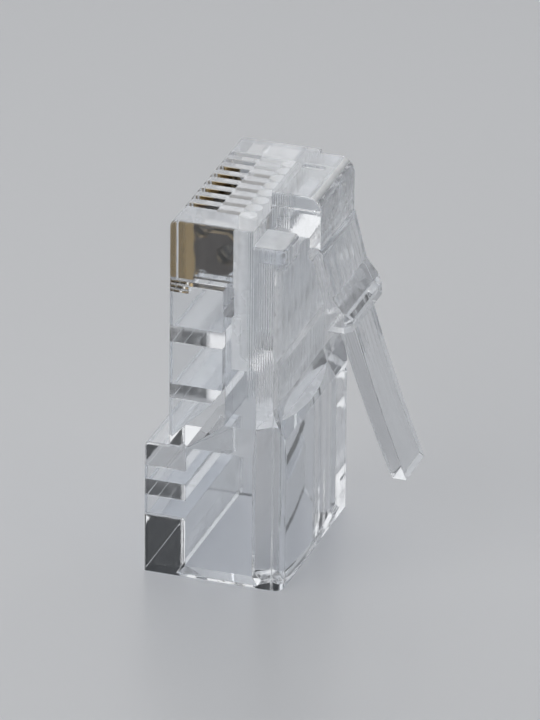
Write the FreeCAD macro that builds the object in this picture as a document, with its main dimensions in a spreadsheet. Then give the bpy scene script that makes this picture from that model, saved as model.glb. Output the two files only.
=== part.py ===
import FreeCAD, Part
import os
import Sketcher

# Clear eight-contact modular plug, standing on its cable end with the nose up, in millimetres.
# Z runs from the rear face to the nose, X across the width, and the latch is on the +Y side.
# The origin is the middle of the cable opening, in the plane of the rear face.

SIZES = [
    # overall body
    ("body_width", 11.68),
    ("body_length", 21.5),
    ("body_depth", 6.6),
    ("corner_radius", 0.55),
    ("nose_corner_radius", 0.12),
    ("rib_end_radius", 0.42),
    ("raised_block_radius", 0.14),
    ("soft_edge_radius", 0.28),
    # thin nose in front of the shoulders
    ("nose_depth", 4.8),
    ("shoulder_drop", 0.85),
    ("shoulder_height", 1.27),
    # shallow recess and ramp on the latch side, and the raised block on the contact side
    ("recess_depth", 0.6),
    ("recess_end_height", 10.9),
    ("ramp_end_height", 9.1),
    ("hump_height", 1.4),
    ("hump_length", 7.9),
    # contact slots and wire tunnels
    ("contact_pitch", 1.02),
    ("contact_thickness", 0.35),
    ("contact_clearance", 0.05),
    ("slot_floor_height", 17.4),
    ("slot_mouth_depth", 2.0),
    ("front_skin", 0.4),
    ("wire_radius", 0.46),
    ("wire_depth", 3.75),
    ("wire_start_height", 12.6),
    # wire chamber and the windows on the contact side
    ("chamber_half_width", 4.1),
    ("chamber_floor_depth", 2.9),
    ("chamber_roof_depth", 4.7),
    ("chamber_top_height", 15.7),
    ("groove_top_height", 13.5),
    ("side_wall", 1.0),
    ("front_window_base", 14.9),
    ("front_window_height", 2.05),
    ("slot_web_depth", 0.9),
    ("middle_window_base", 11.39),
    ("middle_window_height", 2.54),
    ("rear_window_base", 8.2),
    ("rear_window_height", 2.34),
    ("funnel_web_rise", 1.37),
    ("funnel_length", 1.47),
    # cable cavity, its arched roof and the strain relief windows in the raised block
    ("cavity_floor_depth", 0.8),
    ("arch_half_width", 3.9),
    ("arch_rise", 1.25),
    ("mouth_chamfer", 0.4),
    ("lower_anchor_window_base", 3.3),
    ("lower_anchor_window_height", 1.1),
    ("upper_anchor_window_base", 5.35),
    ("upper_anchor_window_height", 0.85),
    # block that carries the latch
    ("block_half_width", 2.95),
    ("block_step", 0.06),
    ("block_step_rise", 0.35),
    ("block_rise", 1.15),
    ("block_depth", 2.85),
    ("block_base_height", 20.2),
    ("block_edge_radius", 0.85),
    ("relief_half_width", 3.44),
    ("relief_base_height", 19.05),
    ("lip_height", 0.75),
    ("lip_depth", 0.62),
    ("gate_mark_length", 1.3),
    ("gate_mark_width", 0.45),
    ("gate_mark_radius", 0.2),
    ("gate_mark_sink", 0.15),
    ("gate_mark_offset", 0.9),
    ("gate_mark_setback", 1.18),
    # latch lever
    ("hinge_height", 19.25),
    ("hinge_radius", 0.42),
    ("hinge_clearance", 0.03),
    ("hinge_overhang", 0.12),
    ("plate_thickness", 0.65),
    ("kink_height", 16.78),
    ("kink_reach", 0.64),
    ("barb_height", 15.52),
    ("barb_reach", 1.64),
    ("latch_shoulder_height", 14.8),
    ("latch_shoulder_reach", 1.66),
    ("latch_shoulder_thickness", 1.38),
    ("lever_root_reach", 1.08),
    ("lever_width", 3.25),
    ("lever_thickness", 1.03),
    ("lever_bow", 0.14),
    ("lever_tip_height", 5.85),
    ("lever_tip_reach", 4.6),
    ("tip_chamfer", 0.4),
    ("barb_chamfer", 0.35),
    # contact blades, measured from the contact face and from the slot floor
    ("blade_sink", 0.08),
    ("blade_lift", 0.1),
    ("blade_head_height", 3.4),
    ("blade_head_depth", 0.95),
    ("blade_notch_depth", 1.9),
    ("blade_body_drop", 0.4),
    ("blade_body_lift", 0.57),
    ("blade_body_depth", 2.9),
    ("blade_tip_depth", 3.5),
    ("blade_tip_spread", 0.65),
    ("blade_gap_radius", 0.64),
    ("blade_gap_mouth", 0.55),
    ("blade_top_notch_depth", 0.8),
    ("blade_bottom_notch_depth", 0.7),
]

CONTACT_COUNT = 8
MARGIN = 1.0

doc = FreeCAD.newDocument("modular_plug")
sheet = doc.addObject("Spreadsheet::Sheet", "Sizes")
for row, (word, value) in enumerate(SIZES, start=1):
    sheet.set("A%d" % row, word)
    sheet.set("B%d" % row, str(value))
    sheet.setAlias("B%d" % row, word)
doc.recompute()


def size(word):
    return "Sizes.%s" % word


def number(expression):
    return float(sheet.evalExpression(expression))


def from_contact_face(expression):
    # Y of a depth measured from the flat contact face of the body
    return "((%s - %s) / -2 + %s)" % (size("body_depth"), size("hump_height"), expression)


def from_nose(expression):
    # Z of a distance measured back from the nose
    return "(%s - %s)" % (size("body_length"), expression)


CONTACT_FACE = from_contact_face("0")
HUMP_FACE = from_contact_face("-" + size("hump_height"))
LATCH_FACE = from_contact_face(size("body_depth"))
NOSE_FACE = from_contact_face(size("nose_depth"))
RECESS_FACE = "(%s - %s)" % (LATCH_FACE, size("recess_depth"))
LEDGE = from_nose(size("shoulder_drop"))
SHOULDER_BASE = "(%s - %s)" % (LEDGE, size("shoulder_height"))
CAVITY_WIDTH = "(%s - 2 * %s)" % (size("body_width"), size("side_wall"))
CAVITY_FLOOR = from_contact_face(size("cavity_floor_depth"))
CHAMBER_FLOOR = from_contact_face(size("chamber_floor_depth"))
CHAMBER_ROOF = from_contact_face(size("chamber_roof_depth"))
WEB_FOOT = "(%s - %s)" % (size("rear_window_base"), size("funnel_web_rise"))
FUNNEL_START = "(%s + %s)" % (WEB_FOOT, size("cavity_floor_depth"))
FUNNEL_END = "(%s + %s)" % (FUNNEL_START, size("funnel_length"))
WIRE_AXIS = from_contact_face(size("wire_depth"))
SKIN_INSIDE = from_nose(size("front_skin"))
BLOCK_TOP = "(%s + %s)" % (size("body_length"), size("block_rise"))
BLOCK_FACE = "(%s + %s)" % (NOSE_FACE, size("block_depth"))
HINGE_AXIS = "(%s + %s - %s)" % (BLOCK_FACE, size("hinge_overhang"), size("hinge_radius"))
SLOT_WIDTH = "(%s + 2 * %s)" % (size("contact_thickness"), size("contact_clearance"))
FIRST_CONTACT = "(-%d / 2 * %s)" % (CONTACT_COUNT - 1, size("contact_pitch"))


def new_body(name):
    body = doc.addObject("PartDesign::Body", name)
    body.Label = name
    return body


def origin_feature(body, role):
    return [item for item in body.Origin.OriginFeatures if item.Role == role][0]


def new_sketch(body, name, plane, offset=None):
    sketch = body.newObject("Sketcher::SketchObject", name)
    sketch.AttachmentSupport = [(origin_feature(body, plane), "")]
    sketch.MapMode = "FlatFace"
    if offset:
        sketch.setExpression("AttachmentOffset.Base.z", offset)
    return sketch


def pin_point(sketch, geometry, end, across, up):
    for kind, expression in (("DistanceX", across), ("DistanceY", up)):
        index = sketch.addConstraint(
            Sketcher.Constraint(kind, -1, 1, geometry, end, number(expression))
        )
        sketch.setExpression("Constraints[%d]" % index, expression)


def polygon(body, name, plane, points, offset=None, bows=()):
    # closed outline through the given points, each one an (across, up) pair of expressions;
    # bows maps a side to the height of its arc to the right of that side's straight line
    sketch = new_sketch(body, name, plane, offset)
    spots = [FreeCAD.Vector(number(across), number(up), 0) for across, up in points]
    ends = []
    for index, spot in enumerate(spots):
        following = spots[(index + 1) % len(spots)]
        if index in bows:
            across_side = (following - spot).cross(FreeCAD.Vector(0, 0, 1)).normalize()
            crown = (spot + following) / 2 + across_side * number(bows[index])
            leftward = number(bows[index]) < 0
            first, last = (following, spot) if leftward else (spot, following)
            sketch.addGeometry(Part.Arc(first, crown, last), False)
            ends.append((2, 1) if leftward else (1, 2))
        else:
            sketch.addGeometry(Part.LineSegment(spot, following), False)
            ends.append((1, 2))
    for index in range(len(spots)):
        following = (index + 1) % len(spots)
        sketch.addConstraint(
            Sketcher.Constraint("Coincident", index, ends[index][1], following, ends[following][0])
        )
    for index, (across, up) in enumerate(points):
        pin_point(sketch, index, ends[index][0], across, up)
    for index, rise in (bows.items() if bows else ()):
        start = points[index]
        end = points[(index + 1) % len(points)]
        chord = "((%s - %s) ^ 2 + (%s - %s) ^ 2)" % (end[0], start[0], end[1], start[1])
        radius = "((%s / 4 + %s ^ 2) / (2 * abs(%s)))" % (chord, rise, rise)
        turn = sketch.addConstraint(Sketcher.Constraint("Radius", index, number(radius)))
        sketch.setExpression("Constraints[%d]" % turn, radius)
    return sketch


def rectangle(body, name, plane, low_across, high_across, low_up, high_up, offset=None):
    corners = [
        (low_across, low_up),
        (high_across, low_up),
        (high_across, high_up),
        (low_across, high_up),
    ]
    return polygon(body, name, plane, corners, offset)


def circle(body, name, plane, across, up, radius, offset=None):
    sketch = new_sketch(body, name, plane, offset)
    centre = FreeCAD.Vector(number(across), number(up), 0)
    normal = FreeCAD.Vector(0, 0, 1)
    sketch.addGeometry(Part.Circle(centre, normal, number(radius)), False)
    index = sketch.addConstraint(Sketcher.Constraint("Radius", 0, number(radius)))
    sketch.setExpression("Constraints[%d]" % index, radius)
    pin_point(sketch, 0, 3, across, up)
    return sketch


def arch(body, name, half_width, chord, rise):
    # circular segment above a chord, symmetric about the up axis of the base plane
    sketch = new_sketch(body, name, "XY_Plane")
    wide = number(half_width)
    base = number(chord)
    crown = base + number(rise)
    left = FreeCAD.Vector(-wide, base, 0)
    right = FreeCAD.Vector(wide, base, 0)
    sketch.addGeometry(Part.Arc(right, FreeCAD.Vector(0, crown, 0), left), False)
    sketch.addGeometry(Part.LineSegment(left, right), False)
    sketch.addConstraint(Sketcher.Constraint("Coincident", 0, 2, 1, 1))
    sketch.addConstraint(Sketcher.Constraint("Coincident", 0, 1, 1, 2))
    pin_point(sketch, 1, 1, "-" + half_width, chord)
    pin_point(sketch, 1, 2, half_width, chord)
    radius = "((%s ^ 2 + %s ^ 2) / (2 * %s))" % (half_width, rise, rise)
    index = sketch.addConstraint(Sketcher.Constraint("Radius", 0, number(radius)))
    sketch.setExpression("Constraints[%d]" % index, radius)
    return sketch


def recomputed(feature):
    doc.recompute()
    if "Invalid" in feature.State or feature.Shape.isNull():
        raise RuntimeError("%s did not compute: %s" % (feature.Name, feature.getStatusString()))
    return feature


def checked(body, feature, grows):
    # every feature has to change the volume the way it is meant to
    before = body.Shape.Volume if body.Shape.Solids else 0.0
    recomputed(feature)
    after = feature.Shape.Volume
    if grows is True and after <= before:
        raise RuntimeError("%s adds nothing" % feature.Name)
    if grows is False and after >= before:
        raise RuntimeError("%s removes nothing" % feature.Name)
    return feature


def pad(body, sketch, name, length, symmetric=True):
    feature = body.newObject("PartDesign::Pad", name)
    feature.Profile = (sketch, [""])
    feature.SideType = "Symmetric" if symmetric else "One side"
    feature.setExpression("Length", length)
    return checked(body, feature, True)


def pocket(body, sketch, name, length, symmetric=True, reverse=False):
    feature = body.newObject("PartDesign::Pocket", name)
    feature.Profile = (sketch, [""])
    feature.SideType = "Symmetric" if symmetric else "One side"
    feature.Reversed = reverse
    feature.setExpression("Length", length)
    return checked(body, feature, False)


def repeat_across(body, feature, name):
    # one copy for each contact, along X at the contact pitch
    pattern = body.newObject("PartDesign::LinearPattern", name)
    pattern.Originals = [feature]
    pattern.Direction = (origin_feature(body, "X_Axis"), [""])
    pattern.Occurrences = CONTACT_COUNT
    pattern.setExpression("Length", "%d * %s" % (CONTACT_COUNT - 1, size("contact_pitch")))
    body.Tip = pattern
    return checked(body, pattern, False)


def near(one, other):
    return abs(one - other) < 1e-4


def edges(feature, wanted):
    # names of the straight edges whose lowest and highest corners pass the test
    names = []
    for index, edge in enumerate(feature.Shape.Edges, start=1):
        box = edge.BoundBox
        if wanted(box):
            names.append("Edge%d" % index)
    if not names:
        raise RuntimeError("no edge found on %s" % feature.Name)
    return names


def along_z(box):
    return near(box.XMin, box.XMax) and near(box.YMin, box.YMax)


def along_x(box):
    return near(box.YMin, box.YMax) and near(box.ZMin, box.ZMax)


def fillet(body, base, name, wanted, radius):
    feature = body.newObject("PartDesign::Fillet", name)
    feature.Base = (base, edges(base, wanted))
    feature.setExpression("Radius", radius)
    return recomputed(feature)


def chamfer(body, base, name, wanted, length):
    feature = body.newObject("PartDesign::Chamfer", name)
    feature.Base = (base, edges(base, wanted))
    feature.setExpression("Size", length)
    return recomputed(feature)


def body_shell(body):
    # outer form: nose, shoulders, recess, ramp and raised block in one side profile
    profile = [
        (HUMP_FACE, "0"),
        (LATCH_FACE, "0"),
        (LATCH_FACE, size("ramp_end_height")),
        (RECESS_FACE, size("recess_end_height")),
        (RECESS_FACE, SHOULDER_BASE),
        (LATCH_FACE, SHOULDER_BASE),
        (LATCH_FACE, LEDGE),
        (NOSE_FACE, LEDGE),
        (NOSE_FACE, size("body_length")),
        (CONTACT_FACE, size("body_length")),
        (CONTACT_FACE, size("hump_length")),
        (HUMP_FACE, size("hump_length")),
    ]
    outline = polygon(body, "side_profile", "YZ_Plane", profile)
    shell = pad(body, outline, "shell", size("body_width"))
    latch_face = number(LATCH_FACE)
    contact_face = number(CONTACT_FACE)
    hump_face = number(HUMP_FACE)
    shell = fillet(
        body, shell, "latch_side_corners",
        lambda box: along_z(box) and near(box.YMax, latch_face), size("corner_radius"),
    )
    # the soft cross edges come before the small upright corners, which then run round them
    shell = fillet(
        body, shell, "rib_ends",
        lambda box: (
            along_x(box) and near(box.YMin, contact_face)
            and near(box.ZMin, number(size("body_length")))
        ),
        size("rib_end_radius"),
    )
    shell = fillet(
        body, shell, "soft_edges",
        lambda box: along_x(box) and (
            (near(box.YMin, hump_face) and box.ZMin > MARGIN)
            or (near(box.YMax, latch_face) and near(box.ZMin, number(LEDGE)))
        ),
        size("soft_edge_radius"),
    )
    shell = fillet(
        body, shell, "raised_block_corners",
        lambda box: along_z(box) and near(box.YMin, hump_face), size("raised_block_radius"),
    )
    return fillet(
        body, shell, "nose_corners",
        lambda box: along_z(box) and near(box.YMin, contact_face), size("nose_corner_radius"),
    )


def latch_block(body):
    # clear the shoulders in the middle, then stand the block that carries the latch on the nose
    relief = rectangle(
        body, "relief_profile", "YZ_Plane",
        NOSE_FACE, "(%s + %s)" % (LATCH_FACE, MARGIN), size("relief_base_height"),
        "(%s + %s)" % (LEDGE, MARGIN),
    )
    pocket(body, relief, "latch_relief", "2 * " + size("relief_half_width"))
    step = "(%s + %s)" % (size("body_length"), size("block_step_rise"))
    lip_base = "(%s - %s)" % (size("block_base_height"), size("lip_height"))
    lip_inside = "(%s - %s)" % (BLOCK_FACE, size("lip_depth"))
    foot = polygon(body, "block_foot_profile", "YZ_Plane", [
        (NOSE_FACE, size("block_base_height")),
        (lip_inside, size("block_base_height")),
        (lip_inside, lip_base),
        (BLOCK_FACE, lip_base),
        (BLOCK_FACE, step),
        (NOSE_FACE, step),
    ])
    pad(body, foot, "block_foot", "2 * " + size("block_half_width"))
    top = rectangle(
        body, "block_top_profile", "YZ_Plane", NOSE_FACE, BLOCK_FACE, step, BLOCK_TOP,
    )
    block = pad(
        body, top, "block_top", "2 * (%s - %s)" % (size("block_half_width"), size("block_step")),
    )
    block_face = number(BLOCK_FACE)
    block_top = number(BLOCK_TOP)
    fillet(
        body, block, "block_outer_edge",
        lambda box: along_x(box) and near(box.YMax, block_face) and near(box.ZMax, block_top),
        size("block_edge_radius"),
    )
    seat = circle(
        body, "hinge_seat_profile", "YZ_Plane", HINGE_AXIS, size("hinge_height"),
        "(%s + %s)" % (size("hinge_radius"), size("hinge_clearance")),
    )
    pocket(body, seat, "hinge_seat", "2 * (%s + %s)" % (size("block_half_width"), MARGIN))


def gate_mark(body):
    # oblong moulding mark sunk into the top of the latch block
    middle = "(%s + %s)" % (NOSE_FACE, size("gate_mark_setback"))
    half_length = "%s / 2" % size("gate_mark_length")
    half_width = "%s / 2" % size("gate_mark_width")
    mark = rectangle(
        body, "gate_mark_profile", "XY_Plane",
        "(-%s - %s)" % (size("gate_mark_offset"), half_width),
        "(-%s + %s)" % (size("gate_mark_offset"), half_width),
        "(%s - %s)" % (middle, half_length),
        "(%s + %s)" % (middle, half_length),
        BLOCK_TOP,
    )
    sunk = pocket(body, mark, "gate_mark", size("gate_mark_sink"), symmetric=False)
    floor = number(BLOCK_TOP) - number(size("gate_mark_sink"))
    fillet(
        body, sunk, "gate_mark_ends",
        lambda box: along_z(box) and near(box.ZMin, floor), size("gate_mark_radius"),
    )


def cable_cavity(body):
    # wide opening for the cable jacket, with an arched roof and a chamfered mouth
    profile = rectangle(
        body, "cavity_profile", "YZ_Plane",
        CAVITY_FLOOR, CHAMBER_ROOF, "-" + str(MARGIN), FUNNEL_START,
    )
    pocket(body, profile, "cable_cavity", CAVITY_WIDTH)
    roof = arch(body, "arch_profile", size("arch_half_width"), CHAMBER_ROOF, size("arch_rise"))
    arched = pocket(
        body, roof, "arched_roof", FUNNEL_END, symmetric=False, reverse=True,
    )
    floor = number(CAVITY_FLOOR)
    latch_face = number(LATCH_FACE)
    half_cavity = number(CAVITY_WIDTH) / 2
    chamfer(
        body, arched, "mouth_chamfer",
        lambda box: (
            near(box.ZMax, 0) and box.XMax < half_cavity + 1e-3 and box.XMin > -half_cavity - 1e-3
            and box.YMin > floor - 1e-3 and box.YMax < latch_face - 1e-3
        ),
        size("mouth_chamfer"),
    )


def wire_chamber(body):
    # funnel from the cavity to a flat chamber, then a tunnel for each of the eight wires
    half_cavity = "%s / 2" % CAVITY_WIDTH
    wide = rectangle(
        body, "funnel_start", "XY_Plane",
        "-" + half_cavity, half_cavity, CAVITY_FLOOR, CHAMBER_ROOF, FUNNEL_START,
    )
    narrow = rectangle(
        body, "funnel_end", "XY_Plane",
        "-" + size("chamber_half_width"), size("chamber_half_width"),
        CHAMBER_FLOOR, CHAMBER_ROOF, FUNNEL_END,
    )
    funnel = body.newObject("PartDesign::SubtractiveLoft", "funnel")
    funnel.Profile = wide
    funnel.Sections = [narrow]
    checked(body, funnel, False)
    profile = polygon(body, "chamber_profile", "YZ_Plane", [
        (CHAMBER_FLOOR, FUNNEL_END),
        (CHAMBER_ROOF, FUNNEL_END),
        (CHAMBER_ROOF, size("wire_start_height")),
        (WIRE_AXIS, size("groove_top_height")),
        (WIRE_AXIS, size("chamber_top_height")),
        (CHAMBER_FLOOR, size("chamber_top_height")),
    ])
    pocket(body, profile, "wire_chamber", "2 * " + size("chamber_half_width"))
    tunnel = circle(
        body, "tunnel_profile", "XY_Plane", FIRST_CONTACT, WIRE_AXIS, size("wire_radius"),
        size("wire_start_height"),
    )
    length = "(%s - %s)" % (SKIN_INSIDE, size("wire_start_height"))
    first = pocket(body, tunnel, "first_tunnel", length, symmetric=False, reverse=True)
    repeat_across(body, first, "wire_tunnels")


def contact_slots(body):
    # a slot for each blade, open to the contact face and, near that face, to the nose
    outside = "(%s - %s)" % (CONTACT_FACE, MARGIN)
    above = "(%s + %s)" % (size("body_length"), MARGIN)
    mouth = from_contact_face(size("slot_mouth_depth"))
    back = from_contact_face(
        "%s + %s" % (size("blade_tip_depth"), size("contact_clearance")),
    )
    profile = polygon(body, "slot_profile", "YZ_Plane", [
        (outside, size("slot_floor_height")),
        (back, size("slot_floor_height")),
        (back, SKIN_INSIDE),
        (mouth, SKIN_INSIDE),
        (mouth, above),
        (outside, above),
    ], FIRST_CONTACT)
    first = pocket(body, profile, "first_slot", SLOT_WIDTH)
    repeat_across(body, first, "contact_slots")


def windows(body):
    # windows in the contact side; the bars between them clamp the wires and the jacket
    outside = "(%s - %s)" % (CONTACT_FACE, MARGIN)
    base = size("front_window_base")
    web_top = "(%s + %s)" % (base, size("front_window_height"))
    web_back = from_contact_face(size("slot_web_depth"))
    front = polygon(body, "front_window_profile", "YZ_Plane", [
        (outside, base),
        (CHAMBER_FLOOR, base),
        (CHAMBER_FLOOR, size("slot_floor_height")),
        (web_back, size("slot_floor_height")),
        (web_back, web_top),
        (outside, web_top),
    ])
    pocket(body, front, "front_window", CAVITY_WIDTH)
    base = size("middle_window_base")
    top = "(%s + %s)" % (base, size("middle_window_height"))
    middle = rectangle(
        body, "middle_window_profile", "YZ_Plane", outside, CHAMBER_FLOOR, base, top,
    )
    pocket(body, middle, "middle_window", CAVITY_WIDTH)
    base = size("rear_window_base")
    top = "(%s + %s)" % (base, size("rear_window_height"))
    rear = polygon(body, "rear_window_profile", "YZ_Plane", [
        (CONTACT_FACE, base),
        (from_contact_face(size("rear_window_height")), top),
        (outside, top),
        (outside, base),
    ])
    pocket(body, rear, "rear_window", CAVITY_WIDTH)
    for name in ("lower", "upper"):
        base = size(name + "_anchor_window_base")
        profile = rectangle(
            body, name + "_anchor_profile", "YZ_Plane",
            "(%s - %s)" % (HUMP_FACE, MARGIN), "(%s + %s)" % (CAVITY_FLOOR, MARGIN),
            base, "(%s + %s)" % (base, size(name + "_anchor_window_height")),
        )
        pocket(body, profile, name + "_anchor_window", CAVITY_WIDTH)


def housing():
    body = new_body("housing")
    body_shell(body)
    latch_block(body)
    gate_mark(body)
    cable_cavity(body)
    wire_chamber(body)
    contact_slots(body)
    windows(body)
    return body


def latch_lever():
    # rounded root in the hinge seat, a wide plate with the locking shoulders, and the finger lever
    body = new_body("latch_lever")
    root = circle(
        body, "root_profile", "YZ_Plane", HINGE_AXIS, size("hinge_height"), size("hinge_radius"),
    )
    plate_width = "2 * " + size("block_half_width")
    pad(body, root, "hinge_root", plate_width)
    outside = "(%s + %s)" % (HINGE_AXIS, size("hinge_radius"))
    kink = "(%s + %s)" % (outside, size("kink_reach"))
    shoulder = "(%s + %s)" % (outside, size("latch_shoulder_reach"))
    plate = polygon(body, "plate_profile", "YZ_Plane", [
        (outside, size("hinge_height")),
        ("(%s - %s)" % (outside, size("plate_thickness")), size("hinge_height")),
        ("(%s - %s)" % (kink, size("plate_thickness")), size("kink_height")),
        ("(%s - %s)" % (shoulder, size("latch_shoulder_thickness")),
         size("latch_shoulder_height")),
        (shoulder, size("latch_shoulder_height")),
        ("(%s + %s)" % (outside, size("barb_reach")), size("barb_height")),
        (kink, size("kink_height")),
    ])
    wide = pad(body, plate, "wide_plate", plate_width)
    half_width = number(size("block_half_width"))
    barb_height = number(size("barb_height"))
    chamfer(
        body, wide, "shoulder_corners",
        lambda box: (
            near(box.XMin, box.XMax) and near(abs(box.XMin), half_width)
            and near(box.ZMax, barb_height) and box.YMin > number(kink)
        ),
        size("barb_chamfer"),
    )
    top = "((%s + %s) / 2)" % (size("kink_height"), size("barb_height"))
    tip = "(%s + %s)" % (outside, size("lever_tip_reach"))
    start = "(%s + %s)" % (outside, size("lever_root_reach"))
    finger = polygon(body, "lever_profile", "YZ_Plane", [
        (start, top),
        ("(%s - %s)" % (start, size("lever_thickness")), top),
        ("(%s - %s)" % (tip, size("lever_thickness")),
         "(%s + %s)" % (size("lever_tip_height"), size("tip_chamfer"))),
        ("(%s - %s + %s / 2)" % (tip, size("lever_thickness"), size("tip_chamfer")),
         size("lever_tip_height")),
        (tip, size("lever_tip_height")),
    ], bows={1: size("lever_bow"), 4: "-" + size("lever_bow")})
    pad(body, finger, "finger_lever", size("lever_width"))
    return body


def contact_blade(index):
    # stamped blade: head for the mating spring, stepped body, two prongs that pierce the wire
    body = new_body("contact_%d" % (index + 1))
    floor = "(%s + %s)" % (size("slot_floor_height"), size("blade_lift"))
    crown = "(%s + %s)" % (floor, size("blade_head_height"))
    outer = from_contact_face(size("blade_sink"))
    head = from_contact_face(size("blade_head_depth"))
    shoulder = from_contact_face(size("blade_notch_depth"))
    back = from_contact_face(size("blade_body_depth"))
    tip = from_contact_face(size("blade_tip_depth"))
    low = "(%s + %s)" % (floor, size("blade_body_lift"))
    high = "(%s - %s)" % (crown, size("blade_body_drop"))
    middle = "((%s + %s) / 2)" % (low, high)
    profile = polygon(body, "blade_profile", "YZ_Plane", [
        (outer, floor),
        (head, floor),
        (shoulder, low),
        (back, low),
        (tip, "(%s - %s)" % (middle, size("blade_tip_spread"))),
        (tip, "(%s + %s)" % (middle, size("blade_tip_spread"))),
        (back, high),
        (shoulder, high),
        (head, crown),
        (outer, crown),
    ])
    pad(body, profile, "blade", size("contact_thickness"))
    notch_middle = "((%s + %s) / 2)" % (head, shoulder)
    notch_radius = "((%s - %s) / 2)" % (shoulder, head)
    notches = (
        ("top", "(%s - %s + %s)" % (crown, size("blade_top_notch_depth"), notch_radius)),
        ("bottom", "(%s + %s - %s)" % (floor, size("blade_bottom_notch_depth"), notch_radius)),
    )
    for name, height in notches:
        cut = circle(body, name + "_notch_end", "YZ_Plane", notch_middle, height, notch_radius)
        pocket(body, cut, name + "_notch", "2 * " + size("contact_thickness"))
    outward = (
        ("top_mouth", notches[0][1], "(%s + %s)" % (crown, MARGIN)),
        ("bottom_mouth", "(%s - %s)" % (floor, MARGIN), notches[1][1]),
    )
    for name, start, end in outward:
        mouth = rectangle(body, name + "_profile", "YZ_Plane", head, shoulder, start, end)
        pocket(body, mouth, name, "2 * " + size("contact_thickness"))
    gap = circle(body, "gap_end", "YZ_Plane", back, middle, size("blade_gap_radius"))
    pocket(body, gap, "wire_gap", "2 * " + size("contact_thickness"))
    mouth = rectangle(
        body, "gap_mouth_profile", "YZ_Plane", back, "(%s + %s)" % (tip, MARGIN),
        "(%s - %s)" % (middle, size("blade_gap_mouth")),
        "(%s + %s)" % (middle, size("blade_gap_mouth")),
    )
    pocket(body, mouth, "gap_mouth", "2 * " + size("contact_thickness"))
    body.setExpression(
        "Placement.Base.x", "%s + %d * %s" % (FIRST_CONTACT, index, size("contact_pitch")),
    )
    return body


bodies = [housing(), latch_lever()]
bodies += [contact_blade(index) for index in range(CONTACT_COUNT)]
doc.recompute()

for item in doc.Objects:
    if "Invalid" in item.State or "Error" in item.State:
        raise RuntimeError("%s did not compute: %s" % (item.Name, item.State))
for body in bodies:
    if body.Shape.isNull() or not body.Shape.isValid():
        raise RuntimeError("%s has no valid shape" % body.Label)
    if len(body.Shape.Solids) != 1:
        raise RuntimeError("%s is %d solids" % (body.Label, len(body.Shape.Solids)))

os.makedirs("parts", exist_ok=True)
for body in bodies:
    body.Shape.exportStep("parts/%s.step" % body.Label)
    print("%s: %.3f mm3" % (body.Label, body.Shape.Volume))
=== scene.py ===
import math
import bpy
from mathutils import Matrix, Vector


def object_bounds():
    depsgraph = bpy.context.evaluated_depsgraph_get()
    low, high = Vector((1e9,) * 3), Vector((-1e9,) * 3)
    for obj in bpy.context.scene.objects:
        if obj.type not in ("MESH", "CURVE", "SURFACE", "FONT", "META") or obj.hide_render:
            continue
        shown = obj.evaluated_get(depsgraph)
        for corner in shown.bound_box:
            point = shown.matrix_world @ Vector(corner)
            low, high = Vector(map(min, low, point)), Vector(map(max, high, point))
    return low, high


# Looks of a clear eight-contact modular plug that stands on its cable end, in metres.
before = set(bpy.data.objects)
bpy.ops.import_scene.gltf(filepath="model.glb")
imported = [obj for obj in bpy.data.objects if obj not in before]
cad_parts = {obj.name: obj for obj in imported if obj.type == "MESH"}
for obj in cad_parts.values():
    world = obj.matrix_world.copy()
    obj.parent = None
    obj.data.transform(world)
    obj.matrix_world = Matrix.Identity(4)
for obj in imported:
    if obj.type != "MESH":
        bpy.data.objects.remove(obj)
cad_low, cad_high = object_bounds()

MM = 0.001

# heights above the rear face; a pair is the stretch over which a region sets in
BLOCK_TOP = cad_high.z
GATE_MARK_FLOOR = BLOCK_TOP - 0.15 * MM
NOSE = BLOCK_TOP - 1.15 * MM
SHOULDERS = NOSE - 0.85 * MM
TUNNELS_TOP = NOSE - 0.3 * MM
TUNNELS_BASE = 12.6 * MM
CAVITY_END = 9.1 * MM
LOCKING_SHOULDERS = 15.5 * MM
WIDE_PLATE = (15.0 * MM, 15.5 * MM)
LINED_WALL = (11.0 * MM, 12.5 * MM)
ABOVE_RAMP = (9.0 * MM, 11.5 * MM)

# depths from the middle plane, positive towards the latch
LATCH_FACE = -cad_low.y
ROUNDING_START = LATCH_FACE - 0.55 * MM
RECESS_FLOOR = LATCH_FACE - 0.6 * MM
NOSE_BACK = LATCH_FACE - 1.8 * MM
CONTACT_FACE = LATCH_FACE - 6.6 * MM
TUNNELS_DEPTH = 1.15 * MM
LATCH_SIDE = (1.0 * MM, 2.6 * MM)
LEVER_END = (6.9 * MM, 6.3 * MM)
BLOCK_FACE = (4.4 * MM, 4.9 * MM)
PLATED_EDGE = (-1.35 * MM, -1.6 * MM)

# distances from the middle, to either side
TUNNELS_HALF_WIDTH = 4.15 * MM
OUTERMOST_TUNNEL = (3.0 * MM, 3.1 * MM)
FUNNEL_HALF_WIDTH = 4.9 * MM
SIDE_WALL = (4.8 * MM, 4.9 * MM)
OUTER_SIDE = (5.5 * MM, 5.6 * MM)
BLOCK_SIDE = 2.9 * MM

# share of a direction in a face's normal, from not counted to fully counted
TURNED_TO = (0.55, 0.9)
SQUARE_TO = (0.8, 0.95)

# how wide a region's rim is where the region doesn't say
RIM = 0.03 * MM

# spacing of the even lines that the mould leaves along its pull
LINE_PITCH = 0.135 * MM

# clear polycarbonate, polished and satin; the satin tint also whitens the shoulder tops as painted
# light
REFRACTIVE_INDEX = 1.585
CLEAR_TINT = (0.86, 0.875, 0.895)
SATIN_AND_PAINTED_LIGHT_TINT = (0.97, 0.98, 0.99)
SATIN_ROUGHNESS = 0.3
SATIN_TRANSMISSION = 0.12
SHADOW_TINT = (0.89, 0.90, 0.92)

# painted shade: the bare bronze is painted near black and the gold darker than plated gold, in
# place of dark surroundings mirrored in the metal
BARE_METAL_PAINTED_DARK = (0.10, 0.085, 0.075)
GOLD_PAINTED_DARKER = (0.52, 0.37, 0.17)

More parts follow.
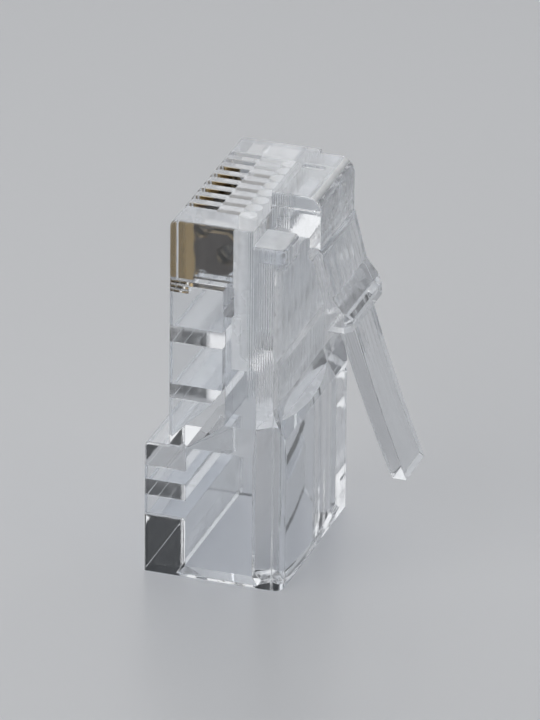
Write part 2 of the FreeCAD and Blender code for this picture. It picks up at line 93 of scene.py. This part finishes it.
# the floor's own tone, the one pale tone that it and the horizon fade to, and the dim rest
FLOOR_TONE = (0.62, 0.63, 0.65)
PALE = (0.56, 0.57, 0.59)
DIM = (0.03, 0.033, 0.036)
FLOOR_HALF_SIZE = 0.6
# the floor is a hair below the plug, because clear plastic doesn't wet what it stands on
FLOOR_LEVEL = -0.02 * MM
FLOOR_FADE = (0.08, 0.40)
HORIZON_FADE = (0.30, 0.06)

# each lamp's place from the middle of the plug, its width and height, and its power
SOFTBOXES = {
    "top_softbox": ((-0.06, -0.02, 0.24), (0.38, 0.42), 0.56),
    "front_softbox": ((0.22, -0.14, 0.12), (0.32, 0.32), 0.42),
    "right_softbox": ((0.04, 0.26, 0.10), (0.10, 0.20), 0.08),
    "back_softbox": ((-0.26, -0.09, 0.13), (0.20, 0.12), 0.075),
    "back_strip": ((-0.26, 0.104, 0.13), (0.02, 0.16), 0.012),
}

# camera, fitted to the corners of the plug in the photograph
IMAGE_HEIGHT = 720
SENSOR = 36.0
CAMERA_AZIMUTH = math.radians(108.384)
CAMERA_ELEVATION = math.radians(25.581)
CAMERA_ROLL = math.radians(0.646)
CAMERA_FOCAL_PIXELS = 9473
CAMERA_DISTANCE = 521.07 * MM
AIM_OFFSET = 1.198 * MM
AIM_HEIGHT = 10.884 * MM

# radii of the edges
HOUSING_EDGE = 0.03 * MM
LEVER_EDGE = 0.035 * MM
CONTACT_EDGE = 0.012 * MM


class Tree:
    # short names for the shader nodes that the materials and the world share

    def __init__(self, owner):
        owner.use_nodes = True
        self.nodes = owner.node_tree.nodes
        self.links = owner.node_tree.links
        self.nodes.clear()

    def add(self, kind, inputs=None, output=0, **settings):
        node = self.nodes.new(kind)
        for name, value in settings.items():
            setattr(node, name, value)
        for name, value in (inputs or {}).items():
            if isinstance(value, bpy.types.NodeSocket):
                self.links.new(value, node.inputs[name])
            else:
                node.inputs[name].default_value = value
        return node.outputs[output] if node.outputs else node

    def math(self, operation, first, second=0.0):
        return self.add("ShaderNodeMath", {0: first, 1: second}, operation=operation)

    def times(self, first, second):
        return self.math("MULTIPLY", first, second)

    def magnitude(self, value):
        return self.math("ABSOLUTE", value)

    def ramp(self, value, start, end, low=0.0, high=1.0):
        # smooth step of a value from low at start to high at end
        return self.add(
            "ShaderNodeMapRange",
            {"Value": value, "From Min": start, "From Max": end, "To Min": low, "To Max": high},
            interpolation_type="SMOOTHSTEP",
        )

    def between(self, value, low, high, rim=RIM):
        rise = self.ramp(value, low - rim, low + rim)
        fall = self.ramp(value, high - rim, high + rim, 1.0, 0.0)
        return self.times(rise, fall)

    def near(self, value, middle, reach, rim=RIM):
        return self.between(value, middle - reach, middle + reach, rim)

    def both(self, *masks):
        joined = masks[0]
        for mask in masks[1:]:
            joined = self.times(joined, mask)
        return joined

    def any_of(self, *masks):
        joined = masks[0]
        for mask in masks[1:]:
            joined = self.math("MAXIMUM", joined, mask)
        return joined

    def mix(self, factor, first, second):
        return self.add(
            "ShaderNodeMix", {"Factor": factor, "A": first, "B": second}, data_type="FLOAT",
        )

    def tint(self, factor, first, second):
        colours = {"Factor": factor, "A": (*first, 1.0), "B": (*second, 1.0)}
        return self.add("ShaderNodeMix", colours, output=2, data_type="RGBA")

    def axes(self, vector):
        split = self.nodes.new("ShaderNodeSeparateXYZ")
        self.links.new(vector, split.inputs[0])
        return split.outputs

    def place(self):
        # a point in the object's own metres, so that the marks move with the object
        return self.add("ShaderNodeTexCoord", output=3)

    def outward(self):
        # the object's own normal, turned to point out of it on the inside of a wall too
        facing = self.axes(self.add("ShaderNodeTexCoord", output=1))
        inside = self.add("ShaderNodeNewGeometry", output=6)
        sign = self.math("SUBTRACT", 1.0, self.times(inside, 2.0))
        return [self.times(axis, sign) for axis in facing]

    def seen(self):
        # one for camera rays, also mirrored or let through, and nothing for scattered light
        path = self.nodes.new("ShaderNodeLightPath").outputs
        return self.any_of(
            path["Is Camera Ray"], path["Is Glossy Ray"], path["Is Transmission Ray"],
        )

    def noise(self, vector, scale, stretch=(1, 1, 1), detail=3.0, roughness=0.5):
        placed = self.add("ShaderNodeMapping", {"Vector": vector, "Scale": stretch})
        return self.add(
            "ShaderNodeTexNoise",
            {"Vector": placed, "Scale": scale, "Detail": detail, "Roughness": roughness},
        )

    def bump(self, height, strength, distance, normal=None):
        inputs = {"Height": height, "Strength": strength, "Distance": distance}
        if normal is not None:
            inputs["Normal"] = normal
        return self.add("ShaderNodeBump", inputs)


def clear_plastic(name, satin_and_painted_light_regions, streak_regions, line_regions, lump_regions):
    # clear moulded polycarbonate: polished outside, satin where the regions say, and whiter as
    # painted light where the regions paint it
    material = bpy.data.materials.new(name)
    tree = Tree(material)
    place = tree.place()
    axes = tree.axes(place)
    facing = tree.outward()
    satin_and_painted_light = satin_and_painted_light_regions(tree, axes, facing)
    streaks = streak_regions(tree, axes, facing)
    lines = line_regions(tree, axes, facing)
    lumps = lump_regions(tree, axes, facing)

    blotch = tree.noise(place, 0.9 / MM)
    satin_and_painted_light_share = tree.times(satin_and_painted_light, tree.ramp(blotch, 0.2, 0.8, 0.75, 1.0))
    polished = tree.ramp(blotch, 0.3, 0.7, 0.0, 0.02)

    # the flow of the melt, streaks, drag marks, grain, even lines and lumps, one over the other
    flow = tree.noise(place, 0.26 / MM, stretch=(1, 1, 0.35), detail=1.0)
    streak = tree.noise(place, 4.2 / MM, stretch=(1, 1, 0.03), detail=4.0, roughness=0.6)
    drag = tree.noise(place, 1.3 / MM, stretch=(1, 0.2, 0.04), detail=2.0)
    grain = tree.noise(place, 16 / MM)
    wave = tree.math("SINE", tree.times(axes[1], 2 * math.pi / LINE_PITCH))
    patch = tree.noise(place, 2.6 / MM, detail=2.0)
    relief = tree.bump(flow, 0.6, 0.02 * MM)
    relief = tree.bump(tree.times(streak, streaks), 0.8, 0.016 * MM, relief)
    relief = tree.bump(tree.times(drag, drag_regions(tree, axes, facing)), 0.8, 0.07 * MM, relief)
    relief = tree.bump(tree.times(grain, satin_and_painted_light), 0.5, 0.003 * MM, relief)
    relief = tree.bump(tree.times(wave, lines), 0.8, 0.006 * MM, relief)
    relief = tree.bump(tree.times(patch, lumps), 0.8, 0.06 * MM, relief)

    surface = tree.add("ShaderNodeBsdfPrincipled", {
        "Base Color": tree.tint(satin_and_painted_light_share, CLEAR_TINT, SATIN_AND_PAINTED_LIGHT_TINT),
        "IOR": REFRACTIVE_INDEX,
        "Roughness": tree.mix(satin_and_painted_light_share, polished, SATIN_ROUGHNESS),
        "Transmission Weight": tree.mix(satin_and_painted_light_share, 1.0, SATIN_TRANSMISSION),
        "Normal": relief,
    })
    lets_lamps_through = tree.add("ShaderNodeBsdfTransparent", {"Color": (*SHADOW_TINT, 1.0)})
    is_shadow = tree.add("ShaderNodeLightPath", output=1)
    shown = tree.add("ShaderNodeMixShader", {0: is_shadow, 1: surface, 2: lets_lamps_through})
    tree.add("ShaderNodeOutputMaterial", {"Surface": shown})
    return material


def drag_regions(tree, place, facing):
    # broad faces of the latch side, less below the ramp and at the free end of the lever
    return tree.both(
        tree.ramp(tree.magnitude(facing[1]), 0.7, 0.95),
        tree.ramp(place[1], *LATCH_SIDE),
        tree.ramp(place[1], *LEVER_END, low=0.25),
        tree.ramp(place[2], *ABOVE_RAMP, low=0.2),
    )


def gate_mark(tree, place, facing):
    # floor of the moulding mark in the top of the latch block
    return tree.both(
        tree.ramp(facing[2], *TURNED_TO),
        tree.near(place[2], GATE_MARK_FLOOR, 0.1 * MM, 0.02 * MM),
    )


def housing_satin_and_painted_light(tree, place, facing):
    # satin: faces towards the nose, the recessed latch-side face, tunnels, funnel and slopes;
    # painted light on the shoulder tops
    upward = tree.ramp(facing[2], *TURNED_TO, high=0.3)
    # painted light: the shoulder tops are whitened twice as much as other upward faces, to make up
    # for the shade the latch block casts on them
    shoulders = tree.both(
        tree.ramp(facing[2], *TURNED_TO, high=0.6),
        tree.near(place[2], SHOULDERS, 0.15 * MM),
    )
    recess = tree.both(
        tree.near(place[1], RECESS_FLOOR, 0.1 * MM),
        tree.ramp(facing[1], *SQUARE_TO, high=0.3),
    )
    tunnels = tree.both(
        tree.near(place[1], TUNNELS_DEPTH, 0.5 * MM),
        tree.between(place[2], TUNNELS_BASE, TUNNELS_TOP),
        tree.near(place[0], 0.0, TUNNELS_HALF_WIDTH),
        # the outermost tunnels stand behind one thin wall and look whitest
        tree.ramp(tree.magnitude(place[0]), *OUTERMOST_TUNNEL, low=0.5),
    )
    slopes = tree.both(
        tree.between(facing[2], 0.2, 0.95, 0.05),
        tree.near(place[0], 0.0, FUNNEL_HALF_WIDTH),
        tree.between(place[1], CONTACT_FACE - 0.1 * MM, NOSE_BACK, 0.05 * MM),
    )
    cavity_end = tree.both(
        tree.ramp(facing[2], -0.8, -0.95),
        tree.near(place[2], CAVITY_END, 0.2 * MM),
    )
    return tree.any_of(
        upward, shoulders, recess, tunnels, tree.times(slopes, 0.6), cavity_end,
        gate_mark(tree, place, facing),
    )


def housing_streaks(tree, place, facing):
    # fine lines along the mould's pull, strongest on the latch side above the ramp
    return tree.both(
        tree.ramp(tree.magnitude(facing[2]), 0.5, 0.2),
        tree.ramp(place[1], *LATCH_SIDE, low=0.25),
        tree.ramp(place[2], *ABOVE_RAMP, low=0.4),
    )


def housing_lines(tree, place, facing):
    # on the side walls beside the recess, and on the ends of the latch block
    across = tree.magnitude(place[0])
    beside_recess = tree.both(
        tree.ramp(across, *SIDE_WALL),
        tree.between(place[1], NOSE_BACK - 0.3 * MM, ROUNDING_START),
        tree.ramp(place[2], *LINED_WALL),
    )
    block_ends = tree.both(
        tree.near(across, BLOCK_SIDE, 0.1 * MM, 0.02 * MM),
        tree.between(place[1], NOSE_BACK, NOSE_BACK + 1.1 * MM),
        tree.between(place[2], SHOULDERS - 0.05 * MM, BLOCK_TOP - 0.15 * MM, 0.05 * MM),
    )
    sideways = tree.ramp(tree.magnitude(facing[0]), *SQUARE_TO)
    # one thin line where the rounding of the long corners starts
    witness = tree.both(
        tree.ramp(across, *OUTER_SIDE),
        tree.between(place[1], ROUNDING_START - 0.05 * MM, ROUNDING_START + 0.02 * MM, 0.015 * MM),
    )
    return tree.any_of(
        tree.both(sideways, tree.any_of(beside_recess, block_ends)),
        tree.times(witness, 3.0),
    )


def housing_lumps(tree, place, facing):
    # uneven outer face of the latch block and floor of its moulding mark
    block_face = tree.both(
        tree.ramp(place[1], *BLOCK_FACE),
        tree.between(place[2], SHOULDERS - 0.35 * MM, BLOCK_TOP - 0.35 * MM, 0.3 * MM),
    )
    return tree.any_of(block_face, gate_mark(tree, place, facing))


def lever_satin(tree, place, facing):
    # only the end faces of the lever are satin
    return tree.ramp(tree.magnitude(facing[2]), 0.9, 0.98, high=0.5)


def lever_streaks(tree, place, facing):
    # on the broad faces, and hardly on the narrow sides
    return tree.ramp(tree.magnitude(facing[0]), 0.2, 0.8, 0.5, 0.05)


def lever_lines(tree, place, facing):
    # faint lines on the two narrow sides of the wide plate
    return tree.both(
        tree.ramp(tree.magnitude(facing[0]), *SQUARE_TO, high=0.15),
        tree.ramp(place[2], *WIDE_PLATE),
    )


def lever_lumps(tree, place, facing):
    # slightly uneven around the locking shoulders
    return tree.times(tree.near(place[2], LOCKING_SHOULDERS, 1.0 * MM, 0.3 * MM), 0.25)


def contact_gold():
    # gold on the outer edge that mates, darker bare bronze painted near black on the rest of the
    # stamped blade, and a painted gold highlight on the stamped edges
    material = bpy.data.materials.new("contact_gold")
    tree = Tree(material)
    place = tree.place()
    wear = tree.noise(place, 1.5 / MM, detail=2.0)
    brushed = tree.noise(place, 9 / MM, stretch=(1, 1, 0.05))
    worn_edge = tree.math("ADD", tree.axes(place)[1], tree.times(wear, 0.3 * MM))
    plated = tree.ramp(worn_edge, *PLATED_EDGE)
    # painted highlight: the stamped edges are coloured gold because they catch more light than the
    # broad sides
    stamped_edge_glint = tree.ramp(tree.magnitude(tree.outward()[0]), 0.8, 0.4, high=0.6)
    surface = tree.add("ShaderNodeBsdfPrincipled", {
        "Metallic": 1.0,
        "Base Color": tree.tint(tree.any_of(plated, stamped_edge_glint), BARE_METAL_PAINTED_DARK, GOLD_PAINTED_DARKER),
        "Roughness": tree.ramp(wear, 0.3, 0.7, 0.10, 0.2),
        "Normal": tree.bump(brushed, 0.2, 0.002 * MM),
    })
    tree.add("ShaderNodeOutputMaterial", {"Surface": surface})
    return material


def soften_edges(piece, radius):
    # the small radius that every moulded or stamped edge has, with the flat faces kept flat
    weld = piece.modifiers.new("weld", "WELD")
    weld.merge_threshold = 0.0001 * MM
    flat = piece.modifiers.new("flat_faces", "DECIMATE")
    flat.decimate_type = "DISSOLVE"
    flat.angle_limit = math.radians(0.3)
    bevel = piece.modifiers.new("edge_radius", "BEVEL")
    bevel.width = radius
    bevel.segments = 2
    bevel.limit_method = "ANGLE"
    bevel.angle_limit = math.radians(25)
    bevel.use_clamp_overlap = False
    bevel.loop_slide = False
    crisp = piece.modifiers.new("crisp_edges", "EDGE_SPLIT")
    crisp.split_angle = math.radians(14)
    normals = piece.modifiers.new("flat_normals", "WEIGHTED_NORMAL")
    normals.keep_sharp = False
    normals.weight = 100


def dress(node, material, radius):
    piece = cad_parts[node]
    for material_slot in piece.material_slots:
        material_slot.material = material
    soften_edges(piece, radius)


def lay_floor():
    mesh = bpy.data.meshes.new("floor")
    signs = ((-1, -1), (1, -1), (1, 1), (-1, 1))
    corners = [(x * FLOOR_HALF_SIZE, y * FLOOR_HALF_SIZE, FLOOR_LEVEL) for x, y in signs]
    mesh.from_pydata(corners, [], [(0, 1, 2, 3)])
    floor = bpy.data.objects.new("floor", mesh)
    bpy.context.scene.collection.objects.link(floor)
    material = bpy.data.materials.new("pale_floor")
    tree = Tree(material)
    surface = tree.add("ShaderNodeBsdfPrincipled", {
        "Base Color": (*FLOOR_TONE, 1.0),
        "Roughness": 0.3,
    })
    # away from the plug and its shadow the floor keeps one pale tone out to the horizon
    reach = tree.add("ShaderNodeVectorMath", {0: tree.place()}, output=1, operation="LENGTH")
    far = tree.times(tree.ramp(reach, *FLOOR_FADE), tree.seen())
    plain = tree.add("ShaderNodeEmission", {"Color": (*PALE, 1.0)})
    shown = tree.add("ShaderNodeMixShader", {0: far, 1: surface, 2: plain})
    tree.add("ShaderNodeOutputMaterial", {"Surface": shown})
    mesh.materials.append(material)


def softbox(name, place, aim, size, power):
    data = bpy.data.lights.new(name, "AREA")
    data.shape = "RECTANGLE"
    data.size, data.size_y = size
    data.energy = power
    lamp = bpy.data.objects.new(name, data)
    lamp.location = place
    lamp.rotation_euler = (aim - place).to_track_quat("-Z", "Y").to_euler()
    bpy.context.scene.collection.objects.link(lamp)


def lamps():
    middle = (cad_low + cad_high) / 2
    for name, (offset, size, power) in SOFTBOXES.items():
        softbox(name, middle + Vector(offset), middle, size, power)


def surroundings():
    # pale from the horizon down where it is seen, and dim otherwise
    world = bpy.data.worlds.new("studio")
    bpy.context.scene.world = world
    tree = Tree(world)
    direction = tree.axes(tree.add("ShaderNodeTexCoord"))
    low = tree.times(tree.ramp(direction[2], *HORIZON_FADE), tree.seen())
    background = tree.add("ShaderNodeBackground", {"Color": tree.tint(low, DIM, PALE)})
    tree.add("ShaderNodeOutputWorld", {"Surface": background})


def camera():
    back = Vector((
        math.sin(CAMERA_AZIMUTH) * math.cos(CAMERA_ELEVATION),
        -math.cos(CAMERA_AZIMUTH) * math.cos(CAMERA_ELEVATION),
        math.sin(CAMERA_ELEVATION),
    ))
    level = Vector((0, 0, 1)).cross(back).normalized()
    right = Matrix.Rotation(CAMERA_ROLL, 3, back) @ level
    up = back.cross(right)
    aim = Vector((
        AIM_OFFSET * math.cos(CAMERA_AZIMUTH), AIM_OFFSET * math.sin(CAMERA_AZIMUTH), AIM_HEIGHT,
    ))
    data = bpy.data.cameras.new("camera")
    data.sensor_width = SENSOR
    data.lens = CAMERA_FOCAL_PIXELS * SENSOR / IMAGE_HEIGHT
    data.clip_start = 0.01
    data.clip_end = 10
    lens = bpy.data.objects.new("camera", data)
    turned = Matrix((right, up, back)).transposed().to_4x4()
    lens.matrix_world = Matrix.Translation(aim + back * CAMERA_DISTANCE) @ turned
    bpy.context.scene.collection.objects.link(lens)
    bpy.context.scene.camera = lens


def render_paths():
    # light passes many clear walls before it leaves the plug
    cycles = bpy.context.scene.cycles
    cycles.max_bounces = 32
    cycles.transmission_bounces = 32
    cycles.glossy_bounces = 16
    cycles.transparent_max_bounces = 32
    cycles.blur_glossy = 0.5


bpy.context.scene.view_settings.view_transform = "Standard"
render_paths()
camera()
lay_floor()
lamps()
surroundings()

housing_plastic = clear_plastic(
    "clear_housing_plastic", housing_satin_and_painted_light, housing_streaks, housing_lines, housing_lumps,
)
lever_plastic = clear_plastic(
    "clear_lever_plastic", lever_satin, lever_streaks, lever_lines, lever_lumps,
)
gold = contact_gold()
dress("housing", housing_plastic, HOUSING_EDGE)
dress("latch_lever", lever_plastic, LEVER_EDGE)
for node in sorted(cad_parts):
    if node.startswith("contact_"):
        dress(node, gold, CONTACT_EDGE)
